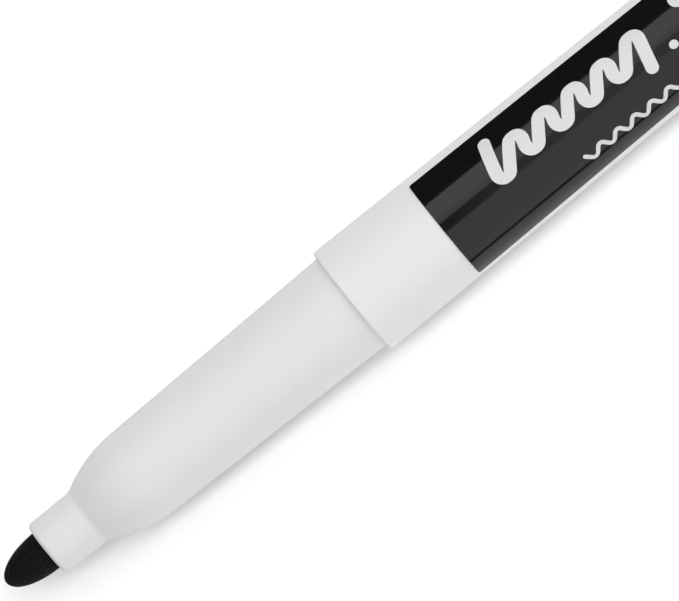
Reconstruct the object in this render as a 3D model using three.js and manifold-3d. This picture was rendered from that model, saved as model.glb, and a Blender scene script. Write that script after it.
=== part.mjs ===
// Slim dry-erase marker with a fine bullet nib, lying on its side with its cap posted on the tail.
// Millimetres. +X runs along the marker from the nib to the tail, +Y is across it, +Z is up,
// and the marker lies on z = 0. Profiles are lists of [station, radius] points: a station is
// a distance along the axis from the tip of the nib, or, on the cap, from the cap's mouth.

import * as THREE from "three";
import { mergeVertices } from "three/addons/utils/BufferGeometryUtils.js";
import Module from "manifold-3d";

const wasm = await Module();
wasm.setup();

// Driving dimensions --------------------------------------------------------------------

const FACETS = 40; // flats round every turned piece, set so that one flat faces the floor
const SLIP = 0.05; // gap left where two pieces touch

const NIB_R = 2.02;
const NIB_EXPOSED = 4.78; // tip to the face of the front section, all of it dome
const NIB_TAPER_START = 24;
const NIB_END = 27;
const NIB_END_R = 0.9;

const NECK_R = 2.85;
const NECK_CORNER = 0.45;
const FLARE_START = 9.38; // where the neck turns into the flare
const FLARE_FILLET = 1.3;
const FLARE_ANGLE = 27.6; // degrees, the steepest part of the flare
const FLARE_CROWN_START = 10.07;
const FLARE_CROWN_R = 13.8; // the flare rounds over into the body at this radius
const BODY_ANGLE = 1.16; // degrees, where the crown meets the body
const SHOULDER_R = 5.08;
const SHOULDER = 40.92; // station where the front section meets the barrel
const SPIGOT_R = 4.75; // the part of the front section that is pressed into the barrel
const SPIGOT_END = 53.0;
const SNAP_STATION = 47.5;
const SNAP_HEIGHT = 0.1;
const SNAP_REACH = 1; // either side of its middle
const NIB_BORE_R = NIB_R + SLIP;
const NIB_BORE_END = 15.2;
const AIR_CHANNELS = 4;
const AIR_CHANNEL_WIDTH = 0.5;
const AIR_CHANNEL_R = 2.35;
const CHAMBER_R = 3.7; // holds the front of the ink reservoir
const CHAMBER_START = 16.6;

const BARREL_START = SHOULDER + SLIP;
const BARREL_CORNER = 0.25;
const BARREL_R = 5.7; // just behind the corner, the widest point
const BARREL_TAPER = 0.0093; // radius lost per millimetre
const BARREL_END = 115.6;
const BARREL_WALL = 0.9; // at the tail
const BARREL_LEDGE = SPIGOT_END + 0.2; // the bore steps in behind the spigot
const BARREL_LEDGE_R = 4.6;
const RIBS = 6;
const RIB_WIDTH = 0.8;
const RIB_START = 54;
const RIB_END = 106;

const LABEL_START = 51.72;
const LABEL_END = 102;
const LABEL_GAP = 0.02;
const LABEL_THICKNESS = 0.08;
const LABEL_SPAN = 128.5; // degrees of the barrel's girth
const LABEL_TURN = 5.25; // degrees from straight up to the label's middle, towards -Y

const RESERVOIR_R = 3.45;
const RESERVOIR_START = 17.2;
const RESERVOIR_END = 106.3;
const SLEEVE_R = 3.58;
const SLEEVE_WALL = 0.08;

const PLUG_HEAD_END = 120;
const PLUG_END_R = 4.96;
const PLUG_FILLET = 1.0;
const PLUG_SKIRT_START = 107;
const PLUG_SKIRT_R = 4.08;
const PLUG_SKIRT_WALL = 0.95;
const PLUG_FLOOR = 1.5; // depth of the skirt's hollow into the head

const CAP_MOUTH = 107.8; // station of the cap's mouth when the cap is posted
const CAP_LENGTH = 44;
const CAP_BORE_R = 5.12; // at the mouth
const CAP_BORE_TAPER = 0.009;
const CAP_BORE_END = 30; // the bore narrows to clear the inner cap from here
const CAP_REAR_BORE_START = 34;
const CAP_REAR_BORE_R = 4.6;
const CAP_END_BORE_R = 4.5;
const CAP_WAISTS = [[12, 5.62], [30, 5.45]]; // the outside between the mouth and the end
const CAP_END_R = 5.28;
const CAP_END_WALL = 1.5;
const CAP_END_FILLET = 1.6;
const CAP_MOUTH_BEVEL = 0.15;
const CAP_SOCKET_R = 3.6; // ring that holds the inner cap
const CAP_SOCKET_WALL = 0.4;
const CAP_SOCKET_DEPTH = 3;
const CAP_VENTS = 3;
const CAP_VENT_SPAN = 70; // degrees
const CAP_VENT_INNER_R = 4.05;
const CAP_VENT_OUTER_R = 4.45;

const CLIP_TURN = 63.3; // degrees from straight down to the clip, towards -Y
const CLIP_TIP = 6; // stations on the cap
const CLIP_ROOT = 36;
const CLIP_HEEL = 42;
const CLIP_INNER_R = 7.1;
const CLIP_OUTER_R = 8.4;
const CLIP_TIP_OUTER_R = 8.15;
const CLIP_CREST = 30; // the clip is at its full height from here to the heel
const CLIP_TIP_FILLET = 0.6;
const CLIP_TIP_BEVEL = 0.2;
const CLIP_ROOT_FILLET = 1;
const CLIP_HEEL_FILLET = 2.2;
const CLIP_BEAD = 9.5;
const CLIP_BEAD_SIZE = 1.2; // radius of the bead's own section
const CLIP_BEAD_R = 6.35; // the bead on the clip reaches in to this radius
const CLIP_FOOT_R = 4.7; // the clip's root is buried in the cap's wall down to here
const CLIP_ROOT_WIDTH = 4.2;
const CLIP_TIP_WIDTH = 3.4;

const INNER_CAP_MOUTH = 29.8; // stations on the cap
const INNER_CAP_END = 42.2;
const INNER_CAP_R = 3.55;
const INNER_CAP_WALL = 0.5;
const INNER_CAP_LIP_R = 3.95;
const INNER_CAP_LIP_BORE_R = 3.5;
const INNER_CAP_LIP_DEPTH = 1.2; // of the flare inside the lip
const INNER_CAP_LIP_LENGTH = 1.4; // of the flare outside it
const SEAL_STATION = 33;
const SEAL_HEIGHT = 0.12;
const SEAL_REACH = 0.5; // either side of its middle

const WHITE = { color: 0xe9e9e7, roughness: 0.35 };
const BLACK = { color: 0x121214, roughness: 0.22 };
const LABEL = { color: 0x0b0b0d, roughness: 0.1 };
const NIB_FELT = { color: 0x0c0c0e, roughness: 0.95 };
const INKED_FIBRE = { color: 0x101014, roughness: 0.9 };
const CLEAR_FILM = { color: 0xd8dadb, roughness: 0.3 };
const SEAL_PLASTIC = { color: 0xe4e2da, roughness: 0.5 };

// Helpers -------------------------------------------------------------------------------

const radians = THREE.MathUtils.degToRad;

// Points of a round stretch of a profile. Angles are in degrees: 0 points along the axis
// towards the tail, and 90 points away from the axis.
function arc(station, radius, size, from, to, steps = 4) {
  return Array.from({ length: steps + 1 }, (_, i) => {
    const angle = radians(from + ((to - from) * i) / steps);
    return [station + size * Math.cos(angle), radius + size * Math.sin(angle)];
  });
}

// Solid of revolution about the marker's axis, from a profile that ends on the axis or closes.
function turned(profile) {
  const points = profile.map(([station, radius]) => new THREE.Vector2(radius, station));
  return new THREE.LatheGeometry(points, FACETS, Math.PI / FACETS).rotateZ(-Math.PI / 2);
}

// Turned piece with a hole through it: the two walls, each given from front to back.
function tube(outside, inside) {
  return turned([...outside, ...inside.toReversed(), outside[0]]);
}

function extruded(points, depth) {
  const shape = new THREE.Shape(points.map(([x, y]) => new THREE.Vector2(x, y)));
  return new THREE.ExtrudeGeometry(shape, { depth, bevelEnabled: false });
}

// Prism along the marker's axis, from an outline whose x runs along +Y and whose y runs up.
function prism(points, depth) {
  return extruded(points, depth).rotateY(Math.PI / 2).rotateX(Math.PI / 2);
}

// Box given by its lowest and highest corners.
function block(low, high) {
  const [x, y, z] = high.map((value, i) => value - low[i]);
  const geometry = new THREE.BoxGeometry(x, y, z);
  return geometry.translate(low[0] + x / 2, low[1] + y / 2, low[2] + z / 2);
}

// The same geometry turned about the marker's axis: what pointed up leans towards -Y.
function spun(geometry, degrees) {
  return geometry.rotateX(radians(degrees));
}

function solid(geometry) {
  const bare = geometry.clone();
  bare.deleteAttribute("normal");
  bare.deleteAttribute("uv");
  const merged = mergeVertices(bare, 1e-4);
  const index = merged.index.array;
  const triVerts = [];
  for (let i = 0; i < index.length; i += 3) {
    const [a, b, c] = index.subarray(i, i + 3);
    if (a !== b && b !== c && c !== a) triVerts.push(a, b, c);
  }
  const vertProperties = new Float32Array(merged.attributes.position.array);
  const mesh = new wasm.Mesh({ numProp: 3, vertProperties, triVerts: new Uint32Array(triVerts) });
  return new wasm.Manifold(mesh);
}

function toGeometry(manifold) {
  const { vertProperties, triVerts } = manifold.getMesh();
  const geometry = new THREE.BufferGeometry();
  geometry.setAttribute("position", new THREE.BufferAttribute(vertProperties, 3));
  geometry.setIndex(new THREE.BufferAttribute(triVerts, 1));
  geometry.computeVertexNormals();
  return geometry;
}

function named(name, geometry, material) {
  const mesh = new THREE.Mesh(geometry, new THREE.MeshStandardMaterial(material));
  mesh.name = name;
  return mesh;
}

function barrelRadius(station) {
  return BARREL_R - BARREL_TAPER * (station - BARREL_START - BARREL_CORNER);
}

// Sub-parts on the marker's own stations ------------------------------------------------

// Fibre nib: a blunt dome on a round stem that runs back into the reservoir.
function nib() {
  const domeSteps = 12;
  const dome = Array.from({ length: domeSteps + 1 }, (_, i) => {
    const angle = ((Math.PI / 2) * i) / domeSteps;
    return [NIB_EXPOSED * (1 - Math.cos(angle)), NIB_R * Math.sin(angle)];
  });
  return turned([...dome, [NIB_TAPER_START, NIB_R], [NIB_END, NIB_END_R], [NIB_END, 0]]);
}

// White front section: the neck round the nib, the flare, and the spigot in the barrel.
function frontSection() {
  const face = NIB_EXPOSED + SLIP;
  const crownAngle = 90 + FLARE_ANGLE;
  const filletLift = FLARE_FILLET * (1 - Math.cos(radians(FLARE_ANGLE)));
  const filletEnd = FLARE_START + FLARE_FILLET * Math.sin(radians(FLARE_ANGLE));
  const rise = (FLARE_CROWN_START - filletEnd) * Math.tan(radians(FLARE_ANGLE));
  const crownR = NECK_R + filletLift + rise;
  const crownCentre = [
    FLARE_CROWN_START + FLARE_CROWN_R * Math.sin(radians(FLARE_ANGLE)),
    crownR - FLARE_CROWN_R * Math.cos(radians(FLARE_ANGLE)),
  ];
  const outside = [
    ...arc(face + NECK_CORNER, NECK_R - NECK_CORNER, NECK_CORNER, 180, 90),
    ...arc(FLARE_START, NECK_R + FLARE_FILLET, FLARE_FILLET, 270, 270 + FLARE_ANGLE, 3),
    ...arc(...crownCentre, FLARE_CROWN_R, crownAngle, 90 + BODY_ANGLE, 8),
    [SHOULDER, SHOULDER_R],
    [SHOULDER, SPIGOT_R],
    [SNAP_STATION - SNAP_REACH, SPIGOT_R],
    [SNAP_STATION, SPIGOT_R + SNAP_HEIGHT],
    [SNAP_STATION + SNAP_REACH, SPIGOT_R],
    [SPIGOT_END, SPIGOT_R],
  ];
  const inside = [
    [face, NIB_BORE_R],
    [NIB_BORE_END, NIB_BORE_R],
    [CHAMBER_START, CHAMBER_R],
    [SPIGOT_END, CHAMBER_R],
  ];
  let section = solid(tube(outside, inside));
  const halfWidth = AIR_CHANNEL_WIDTH / 2;
  for (let i = 0; i < AIR_CHANNELS; i++) {
    const channel = block([face - 1, -halfWidth, NIB_BORE_R / 2], [CHAMBER_START, halfWidth, AIR_CHANNEL_R]);
    section = section.subtract(solid(spun(channel, (360 * i) / AIR_CHANNELS)));
  }
  return toGeometry(section);
}

// White barrel, tapered towards the tail, with ribs inside that centre the reservoir.
function barrel() {
  const mouthR = SPIGOT_R + SLIP;
  const snapR = mouthR + SNAP_HEIGHT;
  const outside = [
    ...arc(BARREL_START + BARREL_CORNER, BARREL_R - BARREL_CORNER, BARREL_CORNER, 180, 90),
    [BARREL_END, barrelRadius(BARREL_END)],
  ];
  const inside = [
    [BARREL_START, mouthR],
    [SNAP_STATION - SNAP_REACH, mouthR],
    [SNAP_STATION, snapR],
    [SNAP_STATION + SNAP_REACH, mouthR],
    [BARREL_LEDGE, mouthR],
    [BARREL_LEDGE, BARREL_LEDGE_R],
    [BARREL_END, barrelRadius(BARREL_END) - BARREL_WALL],
  ];
  let shell = solid(tube(outside, inside));
  const ribInnerR = SLEEVE_R + SLIP;
  const ribOuterR = barrelRadius(RIB_END) - BARREL_WALL / 2;
  const halfWidth = RIB_WIDTH / 2;
  for (let i = 0; i < RIBS; i++) {
    const rib = block([RIB_START, -halfWidth, ribInnerR], [RIB_END, halfWidth, ribOuterR]);
    shell = shell.add(solid(spun(rib, (360 * i) / RIBS)));
  }
  return toGeometry(shell);
}

// Printed film on the upper side of the barrel.
function barrelLabel() {
  const wall = (lift) => [
    [LABEL_START, barrelRadius(LABEL_START) + lift],
    [LABEL_END, barrelRadius(LABEL_END) + lift],
  ];
  const ring = solid(tube(wall(LABEL_GAP + LABEL_THICKNESS), wall(LABEL_GAP)));
  const reach = BARREL_R * 2;
  const halfSpan = LABEL_SPAN / 2;
  const sector = arc(0, 0, reach, 90 - halfSpan, 90 + halfSpan, 8);
  const wedge = prism([[0, 0], ...sector], LABEL_END + 1);
  return toGeometry(ring.intersect(solid(spun(wedge, LABEL_TURN))));
}

// Fibre rod that holds the ink, with a blind hole for the nib's stem.
function inkReservoir() {
  return turned([
    [NIB_END + SLIP, 0],
    [NIB_END + SLIP, NIB_END_R + SLIP],
    [NIB_TAPER_START, NIB_R + SLIP],
    [RESERVOIR_START, NIB_R + SLIP],
    [RESERVOIR_START, RESERVOIR_R],
    [RESERVOIR_END, RESERVOIR_R],
    [RESERVOIR_END, 0],
  ]);
}

function reservoirSleeve() {
  const wall = (radius) => [[RESERVOIR_START, radius], [RESERVOIR_END, radius]];
  return tube(wall(SLEEVE_R), wall(SLEEVE_R - SLEEVE_WALL));
}

// Black plug in the tail: a flush head and a hollow skirt inside the barrel.
function endPlug() {
  const headStart = BARREL_END + SLIP;
  const skirtInnerR = PLUG_SKIRT_R - PLUG_SKIRT_WALL;
  const skirtFloor = headStart + PLUG_FLOOR;
  return turned([
    [skirtFloor, 0],
    [skirtFloor, skirtInnerR],
    [PLUG_SKIRT_START, skirtInnerR],
    [PLUG_SKIRT_START, PLUG_SKIRT_R],
    [headStart, PLUG_SKIRT_R],
    [headStart, barrelRadius(BARREL_END)],
    ...arc(PLUG_HEAD_END - PLUG_FILLET, PLUG_END_R - PLUG_FILLET, PLUG_FILLET, 90, 0),
    [PLUG_HEAD_END, 0],
  ]);
}

// Sub-parts on the cap's stations, from its mouth ---------------------------------------

// Pocket clip on the outside of the cap: a side view cut to the shape of a plan view.
function clip() {
  const beadCentreR = CLIP_BEAD_R + CLIP_BEAD_SIZE;
  const beadSunk = THREE.MathUtils.radToDeg(Math.asin((beadCentreR - CLIP_INNER_R) / CLIP_BEAD_SIZE));
  const heelFillet = [CLIP_HEEL - CLIP_HEEL_FILLET, CLIP_OUTER_R - CLIP_HEEL_FILLET];
  const tipFillet = [CLIP_TIP + CLIP_TIP_FILLET, CLIP_TIP_OUTER_R - CLIP_TIP_FILLET];
  const rootFillet = [CLIP_ROOT - CLIP_ROOT_FILLET, CLIP_INNER_R - CLIP_ROOT_FILLET];
  const side = [
    [CLIP_ROOT, CLIP_FOOT_R],
    [CLIP_HEEL, CLIP_FOOT_R],
    ...arc(...heelFillet, CLIP_HEEL_FILLET, 0, 90),
    [CLIP_CREST, CLIP_OUTER_R],
    ...arc(...tipFillet, CLIP_TIP_FILLET, 90, 180),
    [CLIP_TIP, CLIP_INNER_R + CLIP_TIP_BEVEL],
    [CLIP_TIP + CLIP_TIP_BEVEL, CLIP_INNER_R],
    ...arc(CLIP_BEAD, beadCentreR, CLIP_BEAD_SIZE, 180 + beadSunk, 360 - beadSunk, 6),
    ...arc(...rootFillet, CLIP_ROOT_FILLET, 90, 0),
  ];
  const tipR = CLIP_TIP_WIDTH / 2;
  const plan = [
    [CLIP_HEEL, -CLIP_ROOT_WIDTH / 2],
    [CLIP_HEEL, CLIP_ROOT_WIDTH / 2],
    ...arc(CLIP_TIP + tipR, 0, tipR, 95, 265, 10),
  ];
  const bar = extruded(side, CLIP_ROOT_WIDTH).translate(0, 0, -CLIP_ROOT_WIDTH / 2);
  bar.rotateX(Math.PI / 2);
  const outline = extruded(plan, CLIP_OUTER_R + 1);
  const turn = 180 - CLIP_TURN;
  return solid(spun(bar, turn)).intersect(solid(spun(outline, turn)));
}

// Outer cap: a tapered shell with a socket for the inner cap, air vents in its end and a clip.
function capShell() {
  const end = CAP_LENGTH - CAP_END_WALL;
  const socketMouth = end - CAP_SOCKET_DEPTH;
  const socketOuterR = CAP_SOCKET_R + CAP_SOCKET_WALL;
  const narrowedR = CAP_BORE_R - CAP_BORE_TAPER * CAP_BORE_END;
  const endCorner = [CAP_LENGTH - CAP_END_FILLET, CAP_END_R - CAP_END_FILLET];
  let shell = solid(
    turned([
      [end, 0],
      [end, CAP_SOCKET_R],
      [socketMouth, CAP_SOCKET_R],
      [socketMouth, socketOuterR],
      [end, socketOuterR],
      [end, CAP_END_BORE_R],
      [CAP_REAR_BORE_START, CAP_REAR_BORE_R],
      [CAP_BORE_END, narrowedR],
      [0, CAP_BORE_R],
      [0, BARREL_R - CAP_MOUTH_BEVEL],
      [CAP_MOUTH_BEVEL, BARREL_R],
      ...CAP_WAISTS,
      ...arc(...endCorner, CAP_END_FILLET, 90, 0, 5),
      [CAP_LENGTH, 0],
    ]),
  );
  const halfVent = CAP_VENT_SPAN / 2;
  for (let i = 0; i < CAP_VENTS; i++) {
    const outline = [
      ...arc(0, 0, CAP_VENT_OUTER_R, 90 - halfVent, 90 + halfVent, 6),
      ...arc(0, 0, CAP_VENT_INNER_R, 90 + halfVent, 90 - halfVent, 6),
    ];
    const slot = prism(outline, CAP_END_WALL + 1).translate(end - 0.5, 0, 0);
    shell = shell.subtract(solid(spun(slot, (360 * i) / CAP_VENTS)));
  }
  return toGeometry(shell.add(clip()));
}

// Soft inner cap that seals on the neck, so that the ink doesn't dry out.
function innerCap() {
  const boreR = INNER_CAP_R - INNER_CAP_WALL;
  const floor = INNER_CAP_END - INNER_CAP_WALL;
  return turned([
    [floor, 0],
    [floor, boreR],
    [SEAL_STATION + SEAL_REACH, boreR],
    [SEAL_STATION, boreR - SEAL_HEIGHT],
    [SEAL_STATION - SEAL_REACH, boreR],
    [INNER_CAP_MOUTH + INNER_CAP_LIP_DEPTH, boreR],
    [INNER_CAP_MOUTH, INNER_CAP_LIP_BORE_R],
    [INNER_CAP_MOUTH, INNER_CAP_LIP_R],
    [INNER_CAP_MOUTH + INNER_CAP_LIP_LENGTH, INNER_CAP_R],
    [INNER_CAP_END, INNER_CAP_R],
    [INNER_CAP_END, 0],
  ]);
}

// Assembly ------------------------------------------------------------------------------

const cap = new THREE.Group();
cap.position.x = CAP_MOUTH;
cap.add(named("cap_shell", capShell(), BLACK));
cap.add(named("inner_cap", innerCap(), SEAL_PLASTIC));

const marker = new THREE.Group();
marker.add(named("nib", nib(), NIB_FELT));
marker.add(named("front_section", frontSection(), WHITE));
marker.add(named("barrel", barrel(), WHITE));
marker.add(named("barrel_label", barrelLabel(), LABEL));
marker.add(named("ink_reservoir", inkReservoir(), INKED_FIBRE));
marker.add(named("reservoir_sleeve", reservoirSleeve(), CLEAR_FILM));
marker.add(named("end_plug", endPlug(), BLACK));
marker.add(cap);

// The origin is at the middle of the marker's box, on the surface that it lies on.
const box = new THREE.Box3().setFromObject(marker);
const centre = box.getCenter(new THREE.Vector3());
marker.position.set(-centre.x, -centre.y, -box.min.z);

export default marker;
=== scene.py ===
"""Looks of the slim dry-erase marker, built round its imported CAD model.

Sizes are in millimetres until a mesh is made. A station is a distance along the marker's axis
from the tip of the nib towards the tail. An outline is a list of corners (station, radius,
fillet). An angle round the marker is 0 at the top and grows towards -Y.
"""

import math

import bmesh
import bpy
from mathutils import Matrix, Vector


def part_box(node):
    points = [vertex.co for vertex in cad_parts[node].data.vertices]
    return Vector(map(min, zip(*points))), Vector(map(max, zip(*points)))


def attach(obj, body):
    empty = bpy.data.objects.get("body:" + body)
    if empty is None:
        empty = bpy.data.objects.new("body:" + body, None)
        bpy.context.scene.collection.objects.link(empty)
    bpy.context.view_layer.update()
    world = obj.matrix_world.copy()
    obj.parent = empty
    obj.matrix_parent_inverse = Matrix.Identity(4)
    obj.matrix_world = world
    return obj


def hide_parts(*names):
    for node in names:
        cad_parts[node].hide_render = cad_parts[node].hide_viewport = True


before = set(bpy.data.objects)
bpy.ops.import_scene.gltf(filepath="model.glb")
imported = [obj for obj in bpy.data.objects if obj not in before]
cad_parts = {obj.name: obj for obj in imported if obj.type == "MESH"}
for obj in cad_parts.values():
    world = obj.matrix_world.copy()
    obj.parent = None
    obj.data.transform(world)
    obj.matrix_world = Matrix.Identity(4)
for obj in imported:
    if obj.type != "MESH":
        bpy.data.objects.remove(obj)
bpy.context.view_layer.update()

# Places, from the frame ------------------------------------------------------------------

MM = 0.001
TIP_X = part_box("nib")[0].x
BARREL_LOW, BARREL_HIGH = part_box("barrel")
AXIS_Y = (BARREL_LOW.y + BARREL_HIGH.y) / 2
AXIS_Z = (BARREL_LOW.z + BARREL_HIGH.z) / 2


def span(cad_node):
    """First and last station of a CAD node."""
    low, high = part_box(cad_node)
    return (low.x - TIP_X) / MM, (high.x - TIP_X) / MM


SPANS = {cad_node: span(cad_node) for cad_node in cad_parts}


def place(station, radius, angle):
    """The point in the row frame, in metres, at an angle in radians round the marker."""
    across = radius * ROUNDNESS
    return Vector((
        TIP_X + station * MM,
        AXIS_Y - across * math.sin(angle) * MM,
        AXIS_Z + across * math.cos(angle) * MM,
    ))


# Sizes -----------------------------------------------------------------------------------

SEGMENTS = 144  # round a turned piece
LONGEST_FACE = 3.0  # along a turned piece
TINY = 0.004  # edges shorter than this are closed up after a boolean
SHARP_ANGLE = math.radians(35)  # edges that turn more than this stay sharp
PARTING_LINE = 0.06  # half the width of the fine ridge that a mould leaves
SLIP = 0.05  # gap between two pieces that fit into each other
NEAR_BORE = 0.15  # a point no further than this outside a bore's radius belongs to the bore

BARREL_R = 5.7  # just behind the front corner, the widest point
BARREL_WIDEST = SPANS["barrel"][0] + 0.25
BARREL_TAPER = 0.0093  # radius lost per millimetre
BARREL_CORNER = 0.27
BARREL_WALL = 0.9  # at the tail
# The CAD model is faceted, so its flats lie inside the circle that they stand for. A round
# piece with this share of the radius is just as high.
ROUNDNESS = (BARREL_HIGH.z - BARREL_LOW.z) / 2 / MM / BARREL_R

NIB_R = 2.02
NIB_TAPER = 3.0  # length of the stem's tapered end
NIB_END_R = 0.9
NIB_BORE_R = NIB_R + SLIP
NIB_BORE_END = 15.2
AIR_CHANNELS = 4  # beside the nib
AIR_CHANNEL_R = 2.35
AIR_CHANNEL_HALF_ANGLE = math.radians(6.3)

NECK_R = 2.85
NECK_CORNER = 0.45
FLARE_START = 9.7  # where the neck's and the flare's straight outlines would meet
FLARE_START_FILLET = 1.3
FLARE_END = 12.943  # where the flare's and the body's would meet
FLARE_END_R = 4.546
FLARE_END_FILLET = 13.8
SHOULDER_R = 5.08
CHAMBER_R = 3.7  # holds the front of the reservoir
CHAMBER_START = 16.6

SPIGOT_R = 4.75  # the part of the front section that is pressed into the barrel
SNAP_STATION = 47.5  # middle of the bead on the spigot, and of its groove in the barrel
SNAP_REACH = 1.0
SNAP_HEIGHT = 0.1
BARREL_MOUTH_R = SPIGOT_R + SLIP
LEDGE_GAP = 0.2  # from the spigot's end to the ledge where the bore steps in
LEDGE_DEPTH = 0.2
RIBS = 6  # hold the reservoir in the barrel
RIB_START, RIB_END = 54.0, 106.0
RIB_INNER_R = 3.63
RIB_HALF_ANGLE = math.radians(5.2)

RESERVOIR_R = 3.45
SLEEVE_R = 3.58
SLEEVE_WALL = 0.08
PLUG_SKIRT_INNER_R, PLUG_SKIRT_OUTER_R = 3.13, 4.08
PLUG_FLOOR = 1.5  # depth of the skirt's hollow into the head
PLUG_END_R = 4.96
PLUG_DISH = 0.45

LABEL_LIFT = 0.02
LABEL_THICKNESS = 0.08
LABEL_CORNER = 0.3
LABEL_TOP = math.radians(-59)
LABEL_BOTTOM = math.radians(69.5)
LABEL_SKEW = math.radians(-0.2)  # change of the bottom edge's angle per millimetre
PRINT_THICKNESS = 0.02
PRINT_SINK = 0.01  # depth of the print's underside in the label
ZIGZAG_END = 0.65  # the two ends of a zigzag reach only this share as far

# Stations on the cap and its clip are from the cap's mouth.
CAP_BORE_R = 5.12  # at the mouth
CAP_BORE_NARROWS = 30.0  # from here the bore steps in to clear the inner cap
CAP_BORE_NARROWING = 0.27  # radius lost up to there
CAP_REAR_BORE = 34.0
CAP_REAR_BORE_R = 4.6
CAP_END_BORE_R = 4.5
CAP_WAISTS = ((12.0, 5.62), (30.0, 5.45))  # the outside between the mouth and the end
CAP_END_R = 5.28
CAP_END_WALL = 1.5
CAP_END_FILLET = 1.6
GATE_MARK_R, GATE_MARK_DEPTH = 0.75, 0.12
SOCKET_INNER_R, SOCKET_OUTER_R = 3.6, 4.0  # ring that holds the inner cap
SOCKET_DEPTH = 3.0
VENTS = 3
VENT_SPAN = math.radians(70)
VENT_INNER_R, VENT_OUTER_R = 4.05, 4.45
VENT_OVERSHOOT = 0.5  # so that the cut goes right through the wall

CLIP_ANGLE = math.radians(116.7)
CLIP_TIP, CLIP_ROOT, CLIP_HEEL = 6.0, 36.0, 42.0
CLIP_INNER_R, CLIP_OUTER_R = 7.1, 8.4
CLIP_FOOT_R = 4.72  # where the clip's root ends inside the cap's wall
CLIP_TIP_HALF_WIDTH = 1.7  # and the radius of the rounded tip
CLIP_WIDENING = 0.4  # added to the half width from the tip to the heel
CLIP_TIP_THINNING = 0.25
CLIP_TIP_EASING = 0.35  # more thickness lost on each side in the rounded tip
CLIP_CORNER = 0.3
CLIP_ROOT_FILLET, CLIP_HEEL_FILLET = 1.0, 2.2
CLIP_BEAD, CLIP_BEAD_R, CLIP_BEAD_INNER = 9.5, 1.2, 6.35

SEAL_BORE_R = 3.05  # of the inner cap
SEAL_BEAD_HEIGHT = 0.12
SEAL_R = 3.55
SEAL_LIP_INNER_R, SEAL_LIP_R = 3.5, 3.95
SEAL_END_WALL = 0.5

# Sizes of the stage, in metres -----------------------------------------------------------

FLOOR_HALF = 3.0
BOUNCE_DROP = 0.00002
FLOOR_GLOW = 1.1  # of the floor that the camera sees, in full from GLOW_END outwards
GLOW_START, GLOW_END = 0.1, 0.6
CARD_HALF_LENGTH = 1.5
CARD_LIFT = 0.00005
CARD_LEFT_EDGE = AXIS_Y + 0.018
CARD_RIGHT_EDGE = AXIS_Y - 0.010
CARD_FAR_EDGE = AXIS_Y - 0.22
LAMP_DISTANCE = 0.5
LAMP_LENGTH = 1.5
LAMP_ALONG = 0.35  # how far behind the marker's middle most lamps have theirs
CAMERA_DISTANCE = 0.8639
CAMERA_TURN = math.radians(39.18)
CAMERA_TILT = math.radians(2.5)
CAMERA_LENS = 500  # millimetres
CAMERA_STATION = 40.12  # millimetres, of the point that it looks at
CAMERA_ASIDE = 0.79  # millimetres from the axis to that point


def barrel_radius(station):
    """Radius of the barrel's outside."""
    return BARREL_R - BARREL_TAPER * (station - BARREL_WIDEST)


# Mesh helpers ----------------------------------------------------------------------------

def rounded(corners, steps=7):
    """Points of an outline of (station, radius, fillet) corners, each fillet as an arc."""
    points = []
    for i, (station, radius, fillet) in enumerate(corners):
        corner = Vector((station, radius))
        if not fillet:
            points.append(tuple(corner))
            continue
        before = (Vector(corners[i - 1][:2]) - corner).normalized()
        after = (Vector(corners[(i + 1) % len(corners)][:2]) - corner).normalized()
        half = before.angle(after) / 2
        centre = corner + (before + after).normalized() * (fillet / math.sin(half))
        first = corner + before * (fillet / math.tan(half)) - centre
        last = corner + after * (fillet / math.tan(half)) - centre
        sweep = first.angle_signed(last)
        for k in range(steps + 1):
            turn = Matrix.Rotation(-sweep * k / steps, 2)
            points.append(tuple(centre + turn @ first))
    return points


def spaced(points, closed):
    """The same outline with long straight stretches cut into shorter ones."""
    result = []
    pairs = zip(points, points[1:] + points[:1])
    for i, (start, end) in enumerate(pairs):
        result.append(start)
        if i == len(points) - 1 and not closed:
            break
        pieces = math.ceil(math.dist(start, end) / LONGEST_FACE)
        for k in range(1, pieces):
            share = k / pieces
            result.append(tuple(a + (b - a) * share for a, b in zip(start, end)))
    return result


def new_object(name, data, material=None):
    """Makes an object in the scene from mesh data, which is used up."""
    mesh = bpy.data.meshes.new(name)
    data.to_mesh(mesh)
    data.free()
    if material:
        mesh.materials.append(material)
    made = bpy.data.objects.new(name, mesh)
    bpy.context.scene.collection.objects.link(made)
    return made


def finished(name, data, material, body, cad_node=None):
    bmesh.ops.recalc_face_normals(data, faces=data.faces)
    for face in data.faces:
        face.smooth = True
    for edge in data.edges:
        edge.smooth = edge.calc_face_angle(math.pi) < SHARP_ANGLE
    piece = new_object(name, data, material)
    weighted = piece.modifiers.new("even_normals", "WEIGHTED_NORMAL")
    weighted.keep_sharp = True
    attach(piece, body)
    if cad_node:
        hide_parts(cad_node)


def nearest(angle, count):
    """Angle to the nearest of that many places spread evenly round the marker."""
    pitch = 2 * math.pi / count
    return abs((angle + pitch / 2) % pitch - pitch / 2)


def turned(points, closed=False, bump=None):
    """Closed mesh turned about the axis. bump(station, radius, angle) may change a radius."""
    data = bmesh.new()
    rings = []
    for station, radius in spaced(points, closed):
        if radius < 1e-6:
            rings.append([data.verts.new(place(station, 0, 0))])
            continue
        ring = []
        for i in range(SEGMENTS):
            angle = 2 * math.pi * i / SEGMENTS
            size = bump(station, radius, angle) if bump else radius
            ring.append(data.verts.new(place(station, size, angle)))
        rings.append(ring)
    pairs = list(zip(rings, rings[1:] + rings[:1]))
    for ring, following in pairs if closed else pairs[:-1]:
        for i in range(SEGMENTS):
            j = (i + 1) % SEGMENTS
            if len(ring) == 1:
                data.faces.new((ring[0], following[j], following[i]))
            elif len(following) == 1:
                data.faces.new((ring[i], ring[j], following[0]))
            else:
                data.faces.new((ring[i], ring[j], following[j], following[i]))
    return data


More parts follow.
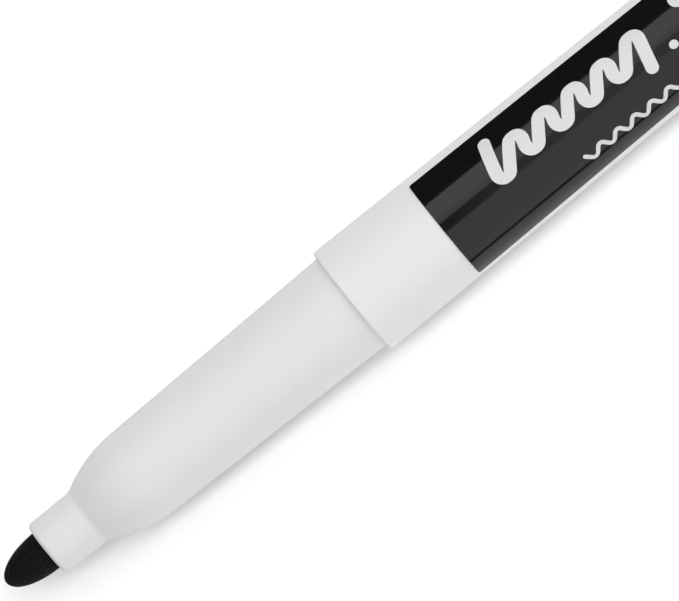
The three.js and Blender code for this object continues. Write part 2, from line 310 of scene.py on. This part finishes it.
def lofted(rings):
    """Closed mesh through rings of points, with a flat face on each end."""
    data = bmesh.new()
    loops = [[data.verts.new(point) for point in ring] for ring in rings]
    for loop, following in zip(loops, loops[1:]):
        for i in range(len(loop)):
            j = (i + 1) % len(loop)
            data.faces.new((loop[i], loop[j], following[j], following[i]))
    data.faces.new(loops[0])
    data.faces.new(loops[-1])
    return data


def plate(data, columns, low_lift, high_lift):
    """Adds a thin closed shell wrapped on the barrel. Each column is a list of
    (station, angle) points; the lifts are heights above the barrel's surface."""
    def layer(lift):
        return [
            [data.verts.new(place(s, barrel_radius(s) + lift, a)) for s, a in column]
            for column in columns
        ]

    low, high = layer(low_lift), layer(high_lift)
    rows, across = len(columns[0]), len(columns)
    for i in range(across - 1):
        for j in range(rows - 1):
            for grid in (low, high):
                data.faces.new(
                    (grid[i][j], grid[i + 1][j], grid[i + 1][j + 1], grid[i][j + 1])
                )
    rim = [(i, 0) for i in range(across)]
    rim += [(across - 1, j) for j in range(1, rows)]
    rim += [(i, rows - 1) for i in range(across - 2, -1, -1)]
    rim += [(0, j) for j in range(rows - 2, 0, -1)]
    for (i, j), (k, m) in zip(rim, rim[1:] + rim[:1]):
        data.faces.new((low[i][j], low[k][m], high[k][m], high[i][j]))


# Materials -------------------------------------------------------------------------------

def shader(name, colour, roughness, **more):
    """A material with a Principled shader whose uniform values are set on its own sockets."""
    material = bpy.data.materials.new(name)
    material.use_nodes = True
    principled = material.node_tree.nodes["Principled BSDF"]
    principled.inputs["Base Color"].default_value = (*colour, 1)
    principled.inputs["Roughness"].default_value = roughness
    for socket, value in more.items():
        principled.inputs[socket.replace("_", " ")].default_value = value
    return material, principled


def connect(material, output, socket):
    material.node_tree.links.new(output, socket)


def node(material, kind, **inputs):
    """Adds a node. A value is a number or vector for its socket, or another node's output."""
    made = material.node_tree.nodes.new(kind)
    for socket, value in inputs.items():
        target = made.inputs[socket.replace("_", " ")]
        if isinstance(value, bpy.types.NodeSocket):
            connect(material, value, target)
        else:
            target.default_value = value
    return made


def noise(material, size, detail=3.0, stretch=1.0):
    """Noise whose features are that size in millimetres, and longer along the marker."""
    where = node(material, "ShaderNodeTexCoord")
    scale = 1 / (size * MM)
    mapping = node(
        material,
        "ShaderNodeMapping",
        Vector=where.outputs["Object"],
        Scale=(scale / stretch, scale, scale),
    )
    texture = node(
        material, "ShaderNodeTexNoise", Vector=mapping.outputs[0], Scale=1.0, Detail=detail
    )
    return texture.outputs["Fac"]


def spread(material, value, low, high, from_low=0.3, from_high=0.7):
    """Maps a texture's value to the range low to high."""
    mapped = node(
        material,
        "ShaderNodeMapRange",
        Value=value,
        From_Min=from_low,
        From_Max=from_high,
        To_Min=low,
        To_Max=high,
    )
    return mapped.outputs[0]


def tint(material, value, dark, light):
    """Mixes two colours by a texture's value."""
    mix = material.node_tree.nodes.new("ShaderNodeMix")
    mix.data_type = "RGBA"
    colours = [socket for socket in mix.inputs if socket.type == "RGBA"]
    colours[0].default_value = (*dark, 1)
    colours[1].default_value = (*light, 1)
    connect(material, value, mix.inputs[0])
    return next(socket for socket in mix.outputs if socket.type == "RGBA")


def bumped(material, principled, *layers):
    """Stacks bump layers of (height, depth in millimetres) on the shader's normal."""
    normal = None
    for height, depth in layers:
        inputs = {"Height": height, "Strength": 1.0, "Distance": depth * MM}
        if normal is not None:
            inputs["Normal"] = normal
        normal = node(material, "ShaderNodeBump", **inputs).outputs[0]
    connect(material, normal, principled.inputs["Normal"])


def parting_line(material):
    """Height of the fine ridge that a two-part mould leaves along both sides."""
    where = node(material, "ShaderNodeTexCoord")
    split = node(material, "ShaderNodeSeparateXYZ", Vector=where.outputs["Object"])
    away = node(material, "ShaderNodeMath")
    away.operation = "SUBTRACT"
    connect(material, split.outputs["Z"], away.inputs[0])
    away.inputs[1].default_value = AXIS_Z
    size = node(material, "ShaderNodeMath")
    size.operation = "ABSOLUTE"
    connect(material, away.outputs[0], size.inputs[0])
    return spread(material, size.outputs[0], 1.0, 0.0, 0.0, PARTING_LINE * MM)


def white_plastic(name, albedo):
    """Satin white moulding with fine grain, faint drag marks and a parting line."""
    material, principled = shader(name, (albedo,) * 3, 0.5)
    warm = (albedo * 0.985, albedo * 0.985, albedo * 0.977)
    cool = (albedo * 1.015,) * 3
    colour = tint(material, noise(material, 7.0), warm, cool)
    connect(material, colour, principled.inputs["Base Color"])
    rough = spread(material, noise(material, 0.9, 4.0, 3.0), 0.46, 0.55)
    connect(material, rough, principled.inputs["Roughness"])
    bumped(
        material,
        principled,
        (noise(material, 0.35, 2.0), 0.0015),
        (noise(material, 0.12, 1.0, 25.0), 0.0006),
        (parting_line(material), 0.012),
    )
    return material


def black_plastic():
    """Glossy black moulding with a parting line."""
    material, principled = shader("black_plastic", (0.012, 0.012, 0.013), 0.2)
    colour = tint(material, noise(material, 5.0), (0.010, 0.010, 0.011), (0.015, 0.015, 0.016))
    connect(material, colour, principled.inputs["Base Color"])
    rough = spread(material, noise(material, 1.1, 4.0, 2.0), 0.16, 0.26)
    connect(material, rough, principled.inputs["Roughness"])
    bumped(
        material,
        principled,
        (noise(material, 0.4, 2.0), 0.0015),
        (parting_line(material), 0.012),
    )
    return material


def label_film():
    """Glossy black printed film, very slightly uneven."""
    material, principled = shader(
        "label_film", (0.007, 0.007, 0.0075), 0.06, Specular_IOR_Level=0.4
    )
    rough = spread(material, noise(material, 0.7, 5.0, 6.0), 0.09, 0.13)
    connect(material, rough, principled.inputs["Roughness"])
    colour = tint(material, noise(material, 0.25, 2.0), (0.006, 0.006, 0.0065), (0.0085,) * 3)
    connect(material, colour, principled.inputs["Base Color"])
    bumped(
        material,
        principled,
        (noise(material, 3.0, 1.0, 3.0), 0.003),
        (noise(material, 0.18, 2.0), 0.0005),
    )
    return material


def label_print():
    """White ink on the label."""
    material, principled = shader("label_print", (0.8,) * 3, 0.4)
    colour = tint(material, noise(material, 0.22, 3.0), (0.755,) * 3, (0.83,) * 3)
    connect(material, colour, principled.inputs["Base Color"])
    bumped(material, principled, (noise(material, 0.15, 2.0), 0.0015))
    return material


def nib_felt():
    """Black bonded fibre with faint pale specks."""
    material, principled = shader("nib_felt", (0.007,) * 3, 0.75, Specular_IOR_Level=0.12)
    fibres = noise(material, 0.10, 3.0, 5.0)
    specks = spread(material, noise(material, 0.16, 2.0), 0.0, 1.0, 0.62, 0.74)
    colour = tint(material, specks, (0.0055, 0.0055, 0.006), (0.035, 0.035, 0.037))
    connect(material, colour, principled.inputs["Base Color"])
    rough = spread(material, fibres, 0.6, 0.95)
    connect(material, rough, principled.inputs["Roughness"])
    bumped(material, principled, (fibres, 0.03), (noise(material, 0.35, 2.0), 0.03))
    return material


def inked_fibre():
    """Dark strands that run along the reservoir."""
    material, principled = shader("inked_fibre", (0.015, 0.015, 0.02), 0.85)
    strands = noise(material, 0.08, 2.0, 60.0)
    colour = tint(material, strands, (0.008, 0.008, 0.011), (0.05, 0.05, 0.06))
    connect(material, colour, principled.inputs["Base Color"])
    bumped(material, principled, (strands, 0.02))
    return material


def clear_film():
    """Thin clear wrap with soft wrinkles."""
    material, principled = shader(
        "clear_film", (0.86, 0.87, 0.88), 0.15, Transmission_Weight=0.8
    )
    rough = spread(material, noise(material, 1.2, 3.0, 2.0), 0.1, 0.25)
    connect(material, rough, principled.inputs["Roughness"])
    bumped(material, principled, (noise(material, 1.5, 2.0, 3.0), 0.004))
    return material


def seal_plastic():
    """Milky, slightly translucent soft plastic."""
    material, principled = shader(
        "seal_plastic", (0.72, 0.71, 0.66), 0.45, Subsurface_Weight=0.3, Subsurface_Scale=0.0008
    )
    colour = tint(material, noise(material, 2.5), (0.69, 0.68, 0.63), (0.75, 0.74, 0.69))
    connect(material, colour, principled.inputs["Base Color"])
    rough = spread(material, noise(material, 0.5, 3.0), 0.38, 0.52)
    connect(material, rough, principled.inputs["Roughness"])
    bumped(material, principled, (noise(material, 0.3, 2.0), 0.002))
    return material


# Pieces of the pen -----------------------------------------------------------------------

def make_nib(material):
    """Bonded-fibre nib: a blunt dome, then a stem that tapers into the reservoir."""
    end = SPANS["nib"][1]
    length = SPANS["front_section"][0] - SLIP
    steps = 28
    dome = []
    for i in range(steps):
        angle = math.pi / 2 * i / steps
        dome.append((length * (1 - math.cos(angle)), NIB_R * math.sin(angle)))
    stem = rounded([
        (length, NIB_R, 0),
        (end - NIB_TAPER, NIB_R, 1.0),
        (end, NIB_END_R, 0.3),
        (end, 0, 0),
    ])
    finished("nib_fibre", turned(dome + stem), material, "pen", "nib")


def make_section(material):
    """Front section: rounded neck, flare, long taper, shoulder, and the spigot behind it."""
    face, back = SPANS["front_section"]
    shoulder = SPANS["barrel"][0]
    corners = [
        (face, NECK_R, NECK_CORNER),
        (FLARE_START, NECK_R, FLARE_START_FILLET),
        (FLARE_END, FLARE_END_R, FLARE_END_FILLET),
        (shoulder, SHOULDER_R, 0),
        (shoulder, SPIGOT_R, 0),
        (SNAP_STATION - SNAP_REACH, SPIGOT_R, 0.5),
        (SNAP_STATION, SPIGOT_R + SNAP_HEIGHT, 0.3),
        (SNAP_STATION + SNAP_REACH, SPIGOT_R, 0.5),
        (back, SPIGOT_R, 0.3),
        (back, CHAMBER_R, 0.1),
        (CHAMBER_START, CHAMBER_R, 0.5),
        (NIB_BORE_END, NIB_BORE_R, 0.3),
        (face, NIB_BORE_R, 0.12),
    ]

    def channels(station, radius, angle):
        in_bore = radius < NIB_BORE_R + NEAR_BORE and station < NIB_BORE_END
        if in_bore and nearest(angle, AIR_CHANNELS) < AIR_CHANNEL_HALF_ANGLE:
            return AIR_CHANNEL_R
        return radius

    data = turned(rounded(corners, steps=10), closed=True, bump=channels)
    finished("section_moulding", data, material, "pen", "front_section")


def make_barrel(material):
    """Barrel: tapered tube with a rounded front corner and reservoir ribs inside."""
    front, back = SPANS["barrel"]
    ledge = SPANS["front_section"][1] + LEDGE_GAP
    corners = [
        (front, BARREL_R, BARREL_CORNER),
        (back, barrel_radius(back), 0.12),
        (back, barrel_radius(back) - BARREL_WALL, 0.08),
        (ledge, BARREL_MOUTH_R - LEDGE_DEPTH, 0.05),
        (ledge, BARREL_MOUTH_R, 0),
        (SNAP_STATION + SNAP_REACH, BARREL_MOUTH_R, 0),
        (SNAP_STATION, BARREL_MOUTH_R + SNAP_HEIGHT, 0),
        (SNAP_STATION - SNAP_REACH, BARREL_MOUTH_R, 0),
        (front, BARREL_MOUTH_R, 0),
    ]

    def ribs(station, radius, angle):
        in_bore = radius < BARREL_MOUTH_R - NEAR_BORE and RIB_START < station < RIB_END
        if in_bore and nearest(angle, RIBS) < RIB_HALF_ANGLE:
            return RIB_INNER_R
        return radius

    data = turned(rounded(corners), closed=True, bump=ribs)
    finished("barrel_tube", data, material, "pen", "barrel")


def make_label(material):
    """Black film wrapped on the upper side of the barrel, with rounded corners."""
    start, end = SPANS["barrel_label"]
    steps_round, steps_along = 96, 24
    columns = []
    for i in range(steps_round + 1):
        # Columns crowd towards the edges, where the corners are.
        share = (1 - math.cos(math.pi * i / steps_round)) / 2
        edge = min(share, 1 - share) * (LABEL_BOTTOM - LABEL_TOP) * BARREL_R
        inset = 0.0
        if edge < LABEL_CORNER:
            inset = LABEL_CORNER - math.sqrt(LABEL_CORNER**2 - (LABEL_CORNER - edge) ** 2)
        column = []
        for k in range(steps_along + 1):
            station = start + inset + (end - start - 2 * inset) * k / steps_along
            bottom = LABEL_BOTTOM + LABEL_SKEW * (station - start)
            column.append((station, LABEL_TOP + (bottom - LABEL_TOP) * share))
        columns.append(column)
    data = bmesh.new()
    plate(data, columns, LABEL_LIFT, LABEL_LIFT + LABEL_THICKNESS)
    finished("label_sheet", data, material, "pen", "barrel_label")


def stroke(data, path, half_width, swell=0.0):
    """Adds a printed stroke with round ends along a path of (station, distance round) points.
    With a swell, it is wider where it runs across the marker, as from a flat brush."""
    points = [Vector(point) for point in path]
    lengths = [0.0]
    for start, end in zip(points, points[1:]):
        lengths.append(lengths[-1] + (end - start).length)
    total = lengths[-1]
    last = len(points) - 2

    def at(distance):
        distance = min(max(distance, 0), total)
        i = next(k for k in range(last + 1) if distance <= lengths[k + 1] or k == last)
        share = (distance - lengths[i]) / (lengths[i + 1] - lengths[i])
        return points[i].lerp(points[i + 1], share)

    # Columns crowd in the round ends, and between them stand 0.3 of the half width apart.
    turns = [math.pi / 2 * k / 8 for k in range(8)]
    rounding = [half_width * (1 - math.cos(turn)) for turn in turns]
    steps = max(2, round(total / (half_width * 0.3)))
    body = [half_width + (total - 2 * half_width) * k / steps for k in range(steps + 1)]
    columns = []
    for distance in rounding + body + [total - x for x in reversed(rounding)]:
        inward = min(distance, total - distance)
        width = 1.0
        if inward < half_width:
            width = math.sqrt(max(1 - (1 - inward / half_width) ** 2, 1e-4))
        along = at(distance + half_width / 3) - at(distance - half_width / 3)
        along.normalize()
        width *= half_width * (1 + swell * (abs(along.y) - 0.5))
        side = Vector((-along.y, along.x))
        column = []
        for share in (-1, -0.5, 0, 0.5, 1):
            point = at(distance) + side * width * share
            column.append((point.x, point.y / barrel_radius(point.x)))
        columns.append(column)
    top = LABEL_LIFT + LABEL_THICKNESS
    plate(data, columns, top - PRINT_SINK, top + PRINT_THICKNESS)


def zigzag(start, end, middle, reach, swings, fillet, fade=1.0, lean=0.0):
    """A rounded zigzag path along the marker that reaches that far to both sides of its
    middle. The reach shrinks to the share fade of itself by the end, and each corner is
    shifted along by lean times its distance from the middle."""
    corners = []
    for i in range(swings + 1):
        share = i / swings
        size = reach * (1 - (1 - fade) * share) * (1 if i % 2 else -1)
        is_end = i in (0, swings)
        if is_end:
            size *= ZIGZAG_END
        station = start + (end - start) * share + size * lean
        corners.append((station, middle + size, 0 if is_end else fillet))
    return rounded(corners, steps=14)


def make_print(material):
    """Generic white marks: a bold leaning scribble, a fine ripple, a dot and two bars. Their
    places are stations and distances round the barrel from its top."""
    data = bmesh.new()
    scribble = zigzag(
        58.2, 77.0, middle=-1.4, reach=4.45, swings=11, fillet=0.68, fade=0.93, lean=-0.5
    )
    stroke(data, scribble, half_width=0.57, swell=0.2)
    ripple = zigzag(65.8, 97.5, middle=3.6, reach=0.68, swings=32, fillet=0.38)
    stroke(data, ripple, half_width=0.21)
    stroke(data, [(78.2, 0.33), (79.1, 0.33)], half_width=0.4)
    stroke(data, [(80.6, -2.9), (97.5, -2.9)], half_width=0.95)
    stroke(data, [(81.4, -0.6), (97.0, -0.6)], half_width=0.26)
    finished("label_marks", data, material, "pen")


def make_reservoir(material):
    """Fibre rod with a blind hole for the nib's stem."""
    front, back = SPANS["ink_reservoir"]
    nib_end = SPANS["nib"][1]
    outline = rounded([
        (nib_end + SLIP, 0, 0),
        (nib_end + SLIP, NIB_END_R + SLIP, 0),
        (nib_end - NIB_TAPER, NIB_BORE_R, 0),
        (front, NIB_BORE_R, 0.1),
        (front, RESERVOIR_R, 0.25),
        (back, RESERVOIR_R, 0.25),
        (back, 0, 0),
    ])
    finished("fibre_rod", turned(outline), material, "pen", "ink_reservoir")


def make_sleeve(material):
    """Thin clear wrap round the reservoir."""
    front, back = SPANS["reservoir_sleeve"]
    bore = SLEEVE_R - SLEEVE_WALL
    outline = [(front, SLEEVE_R), (back, SLEEVE_R), (back, bore), (front, bore)]
    data = turned(outline, closed=True)
    finished("film_wrap", data, material, "pen", "reservoir_sleeve")


def make_plug(material):
    """End plug: flush head with a dished end, and a hollow skirt inside the barrel."""
    front, back = SPANS["end_plug"]
    head = SPANS["barrel"][1] + SLIP
    outline = rounded([
        (head + PLUG_FLOOR, 0, 0),
        (head + PLUG_FLOOR, PLUG_SKIRT_INNER_R, 0.3),
        (front, PLUG_SKIRT_INNER_R, 0.15),
        (front, PLUG_SKIRT_OUTER_R, 0.25),
        (head, PLUG_SKIRT_OUTER_R, 0.1),
        (head, barrel_radius(head), 0.12),
        (back, PLUG_END_R, 1.0),
        (back, 2.6, 0.25),
        (back - PLUG_DISH, 2.3, 0.2),
        (back - PLUG_DISH, 0, 0),
    ])
    finished("tail_plug", turned(outline), material, "pen", "end_plug")


# Pieces of the cap -----------------------------------------------------------------------

def combined(piece, other, operation):
    """Applies a boolean between two mesh data blocks and returns the result."""
    objects = []
    for name, data in (("piece", piece), ("other", other)):
        bmesh.ops.recalc_face_normals(data, faces=data.faces)
        objects.append(new_object(name, data))
    modifier = objects[0].modifiers.new("cut", "BOOLEAN")
    modifier.operation = operation
    modifier.solver = "MANIFOLD"
    modifier.object = objects[1]
    evaluated = objects[0].evaluated_get(bpy.context.evaluated_depsgraph_get())
    result = bmesh.new()
    result.from_mesh(evaluated.to_mesh())
    evaluated.to_mesh_clear()
    for made in objects:
        mesh = made.data
        bpy.data.objects.remove(made)
        bpy.data.meshes.remove(mesh)
    bmesh.ops.remove_doubles(result, verts=result.verts, dist=TINY * MM)
    bmesh.ops.dissolve_degenerate(result, edges=result.edges, dist=TINY * MM)
    return result


def clip_point(station, radius, across):
    """A point of the clip: its radius is measured along the clip's middle plane."""
    spot = place(station, radius, CLIP_ANGLE)
    side = Vector((0, -math.cos(CLIP_ANGLE), -math.sin(CLIP_ANGLE)))
    return spot + side * across * MM


def clip_section(station, inner, outer, half_width):
    """Ring of points round the clip: a rectangle with rounded corners."""
    corner = min(CLIP_CORNER, half_width * 0.9, (outer - inner) * 0.45)
    ring = []
    centres = [
        (outer - corner, half_width - corner, 0),
        (inner + corner, half_width - corner, 90),
        (inner + corner, corner - half_width, 180),
        (outer - corner, corner - half_width, 270),
    ]
    for radius, across, first in centres:
        for k in range(6):
            angle = math.radians(first + 90 * k / 5)
            height = radius + corner * math.cos(angle)
            aside = across + corner * math.cos(angle - math.pi / 2)
            ring.append(clip_point(station, height, aside))
    return ring


def make_clip(mouth):
    """Pocket clip: a bar with a rounded tip, a bead inside it and a curved heel."""
    def arc_drop(radius, run):
        """How far a quarter circle has dropped after that run along it."""
        return radius - math.sqrt(max(radius**2 - run**2, 0))

    eighths = [math.pi / 2 * k / 8 for k in range(9)]
    sixths = [math.pi / 2 * k / 6 for k in range(7)]
    bead_end = CLIP_BEAD + CLIP_BEAD_R
    stations = [CLIP_TIP + CLIP_TIP_HALF_WIDTH * (1 - math.cos(turn)) for turn in eighths]
    stations += [CLIP_BEAD + CLIP_BEAD_R * k / 8 for k in range(-8, 9)]
    stations += [bead_end + 0.4 + 2.6 * k for k in range(9)]
    stations += [CLIP_ROOT - CLIP_ROOT_FILLET * math.cos(turn) for turn in sixths]
    stations += [CLIP_ROOT + 0.3, CLIP_ROOT + 1.5, CLIP_ROOT + 2.8]
    stations += [CLIP_HEEL - CLIP_HEEL_FILLET * (1 - math.sin(turn)) for turn in eighths]
    rings = []
    for station in sorted(set(stations)):
        from_tip = station - CLIP_TIP
        share = from_tip / (CLIP_HEEL - CLIP_TIP)
        half_width = CLIP_TIP_HALF_WIDTH + CLIP_WIDENING * share
        inner = CLIP_INNER_R
        outer = CLIP_OUTER_R - CLIP_TIP_THINNING * max(0, 1 - share * 1.5)
        if from_tip < CLIP_TIP_HALF_WIDTH:
            circle = 1 - (1 - from_tip / CLIP_TIP_HALF_WIDTH) ** 2
            half_width *= math.sqrt(max(circle, 0.02))
            easing = CLIP_TIP_EASING * (1 - math.sqrt(max(circle, 0)))
            inner += easing
            outer -= easing
        if abs(station - CLIP_BEAD) < CLIP_BEAD_R:
            drop = arc_drop(CLIP_BEAD_R, station - CLIP_BEAD)
            inner = min(inner, CLIP_BEAD_INNER + drop)
        if station > CLIP_ROOT:
            inner = CLIP_FOOT_R
        elif station > CLIP_ROOT - CLIP_ROOT_FILLET:
            inner -= arc_drop(CLIP_ROOT_FILLET, station - (CLIP_ROOT - CLIP_ROOT_FILLET))
        over = station - (CLIP_HEEL - CLIP_HEEL_FILLET)
        if over > 0:
            outer -= arc_drop(CLIP_HEEL_FILLET, over)
        rings.append(clip_section(mouth + station, inner, outer, half_width))
    return lofted(rings)


def make_vent(end, turn):
    """Arc-shaped slot through the end wall of the cap."""
    angles = [turn + VENT_SPAN * (k / 12 - 0.5) for k in range(13)]
    outline = [(VENT_OUTER_R, angle) for angle in angles]
    outline += [(VENT_INNER_R, angle) for angle in reversed(angles)]
    return lofted([
        [place(station, radius, angle) for radius, angle in outline]
        for station in (end - CAP_END_WALL - VENT_OVERSHOOT, end + VENT_OVERSHOOT)
    ])


def make_cap(material):
    """Cap: tapered shell with a socket for the inner cap, vents in its end, and the clip."""
    mouth, end = SPANS["cap_shell"]
    wall = end - CAP_END_WALL
    outline = rounded([
        (wall, 0, 0),
        (wall, SOCKET_INNER_R, 0.15),
        (wall - SOCKET_DEPTH, SOCKET_INNER_R, 0.12),
        (wall - SOCKET_DEPTH, SOCKET_OUTER_R, 0.12),
        (wall, SOCKET_OUTER_R, 0.1),
        (wall, CAP_END_BORE_R, 0.1),
        (mouth + CAP_REAR_BORE, CAP_REAR_BORE_R, 3),
        (mouth + CAP_BORE_NARROWS, CAP_BORE_R - CAP_BORE_NARROWING, 3),
        (mouth, CAP_BORE_R, 0.12),
        (mouth, BARREL_R, 0.2),
        *[(mouth + station, radius, 0) for station, radius in CAP_WAISTS],
        (end, CAP_END_R, CAP_END_FILLET),
        (end, GATE_MARK_R, 0.08),
        (end - GATE_MARK_DEPTH, GATE_MARK_R - 0.1, 0.05),
        (end - GATE_MARK_DEPTH, 0, 0),
    ])
    data = combined(turned(outline), make_clip(mouth), "UNION")
    for i in range(VENTS):
        data = combined(data, make_vent(end, 2 * math.pi * i / VENTS), "DIFFERENCE")
    finished("cap_moulding", data, material, "cap", "cap_shell")


def make_inner_cap(material):
    """Milky inner cap: a cup with a flared lip and a sealing bead."""
    lip, end = SPANS["inner_cap"]
    outline = rounded([
        (end - SEAL_END_WALL, 0, 0),
        (end - SEAL_END_WALL, SEAL_BORE_R, 0.3),
        (lip + 3.7, SEAL_BORE_R, 0.2),
        (lip + 3.2, SEAL_BORE_R - SEAL_BEAD_HEIGHT, 0.25),
        (lip + 2.7, SEAL_BORE_R, 0.2),
        (lip + 1.2, SEAL_BORE_R, 0.5),
        (lip, SEAL_LIP_INNER_R, 0.12),
        (lip, SEAL_LIP_R, 0.12),
        (lip + 1.4, SEAL_R, 0.5),
        (end, SEAL_R, 0.4),
        (end, 0, 0),
    ])
    finished("seal_cup", turned(outline), material, "cap", "inner_cap")


# Stage -----------------------------------------------------------------------------------

def make_floor(name, material, height):
    """Square sheet of floor round the marker."""
    data = bmesh.new()
    bmesh.ops.create_grid(data, x_segments=8, y_segments=8, size=FLOOR_HALF)
    floor = new_object(name, data, material)
    floor.location.z = height
    return floor


def make_floors():
    """White floor in two sheets: one that the camera sees, which glows where the light on
    it fades, and one just below it that bounces the softboxes' light on to the marker."""
    material, _ = shader("floor_white", (0.9,) * 3, 0.9, Specular_IOR_Level=0.0)
    bounce = make_floor("floor_bounce", material, -BOUNCE_DROP)
    bounce.visible_camera = False

    shown_material, principled = shader(
        "floor_seen", (0.805,) * 3, 0.9, Specular_IOR_Level=0.0, Emission_Color=(1, 1, 1, 1)
    )
    where = node(shown_material, "ShaderNodeTexCoord")
    length = node(shown_material, "ShaderNodeVectorMath")
    length.operation = "LENGTH"
    connect(shown_material, where.outputs["Object"], length.inputs[0])
    glow = spread(
        shown_material, length.outputs["Value"], 0.0, FLOOR_GLOW, GLOW_START, GLOW_END
    )
    connect(shown_material, glow, principled.inputs["Emission Strength"])
    shown = make_floor("floor", shown_material, 0.0)
    shown.visible_diffuse = False
    shown.visible_glossy = False
    shown.visible_transmission = False
    shown.visible_shadow = False
    return shown


def softbox(name, low, high, radiance, along=LAMP_ALONG):
    """Long light parallel to the marker, whose middle is that far behind the marker's middle.
    It spans the angles from low to high in degrees from straight up, towards -Y."""
    low, high = math.radians(low), math.radians(high)
    middle, half = (low + high) / 2, (high - low) / 2
    light = bpy.data.lights.new(name, "AREA")
    light.shape = "RECTANGLE"
    light.size = LAMP_LENGTH
    light.size_y = 2 * LAMP_DISTANCE * math.sin(half)
    light.energy = radiance * math.pi * light.size * light.size_y
    lamp = bpy.data.objects.new(name, light)
    reach = LAMP_DISTANCE * math.cos(half)
    lamp.location = (
        along,
        AXIS_Y - reach * math.sin(middle),
        AXIS_Z + reach * math.cos(middle),
    )
    lamp.rotation_euler = (middle, 0, 0)
    lamp.visible_camera = False
    bpy.context.scene.collection.objects.link(lamp)
    return lamp


def make_lights(floor):
    """A softbox on each side, the left one dimmer along its rim. A weaker light between them
    shows only in reflections, a fill shows in none, and a narrow key light from above gives
    the floor its soft contact shadow."""
    softbox("softbox_left", -53, -20, 1.57)
    softbox("softbox_left_rim", -20, -9, 1.28)
    softbox("softbox_right", 10.7, 85.8, 1.06)
    gleam = softbox("gleam", -9, 10.7, 0.7, along=0.729)
    gleam.visible_diffuse = False
    fill = softbox("fill_left", -70, -30, 0.7)
    fill.visible_glossy = False
    key = softbox("floor_key", -12, 0, 6.2, along=0.0)
    receivers = bpy.data.collections.new("floor_only")
    receivers.objects.link(floor)
    key.light_linking.receiver_collection = receivers


def make_world():
    """White backdrop that only the camera sees."""
    world = bpy.data.worlds.new("white_backdrop")
    bpy.context.scene.world = world
    world.use_nodes = True
    background = world.node_tree.nodes["Background"]
    background.inputs["Color"].default_value = (1, 1, 1, 1)
    background.inputs["Strength"].default_value = 1.0
    world.cycles_visibility.diffuse = False
    world.cycles_visibility.glossy = False
    world.cycles_visibility.transmission = False


def make_card(name, near, far, glow=0.0):
    """Card on the floor beside the marker, which only its reflections show. It is black, or
    glows white to stand for a floor as bright as the camera sees it."""
    material, _ = shader(
        name,
        (0.01,) * 3,
        0.9,
        Specular_IOR_Level=0.0,
        Emission_Color=(1, 1, 1, 1),
        Emission_Strength=glow,
    )
    data = bmesh.new()
    end = CARD_HALF_LENGTH
    corners = [(-end, near), (end, near), (end, far), (-end, far)]
    data.faces.new([data.verts.new((x, y, CARD_LIFT)) for x, y in corners])
    card = new_object(name, data, material)
    card.visible_camera = False
    card.visible_diffuse = False
    card.visible_shadow = False


def make_camera():
    """Long lens almost straight above the front half of the marker."""
    target = Vector((TIP_X + CAMERA_STATION * MM, AXIS_Y + CAMERA_ASIDE * MM, AXIS_Z))
    back = Vector((math.sin(CAMERA_TILT), 0, math.cos(CAMERA_TILT)))
    up = Vector((math.sin(CAMERA_TURN), math.cos(CAMERA_TURN), 0))
    up = (up - back * up.dot(back)).normalized()
    right = up.cross(back)
    data = bpy.data.cameras.new("camera")
    data.sensor_width = 36
    data.lens = CAMERA_LENS
    data.clip_start, data.clip_end = 0.01, 10
    camera = bpy.data.objects.new("camera", data)
    rotation = Matrix((right, up, back)).transposed().to_4x4()
    camera.matrix_world = Matrix.Translation(target + back * CAMERA_DISTANCE) @ rotation
    bpy.context.scene.collection.objects.link(camera)
    bpy.context.scene.camera = camera


# Build -----------------------------------------------------------------------------------

make_camera()
make_lights(make_floors())
make_world()
make_card("card_left", CARD_LEFT_EDGE, FLOOR_HALF)
make_card("card_right", CARD_RIGHT_EDGE, CARD_FAR_EDGE, glow=1.08)
make_card("card_far", CARD_FAR_EDGE, -FLOOR_HALF)
bpy.context.scene.view_settings.view_transform = "Standard"

black = black_plastic()
make_nib(nib_felt())
# Both are the same white plastic. The section's white is set a little darker than the barrel's
# as painted shade, standing in for how the light falls on each.
make_section(white_plastic("white_section", albedo=0.855))
make_barrel(white_plastic("white_barrel", albedo=0.885))
make_label(label_film())
make_print(label_print())
make_reservoir(inked_fibre())
make_sleeve(clear_film())
make_plug(black)
make_cap(black)
make_inner_cap(seal_plastic())
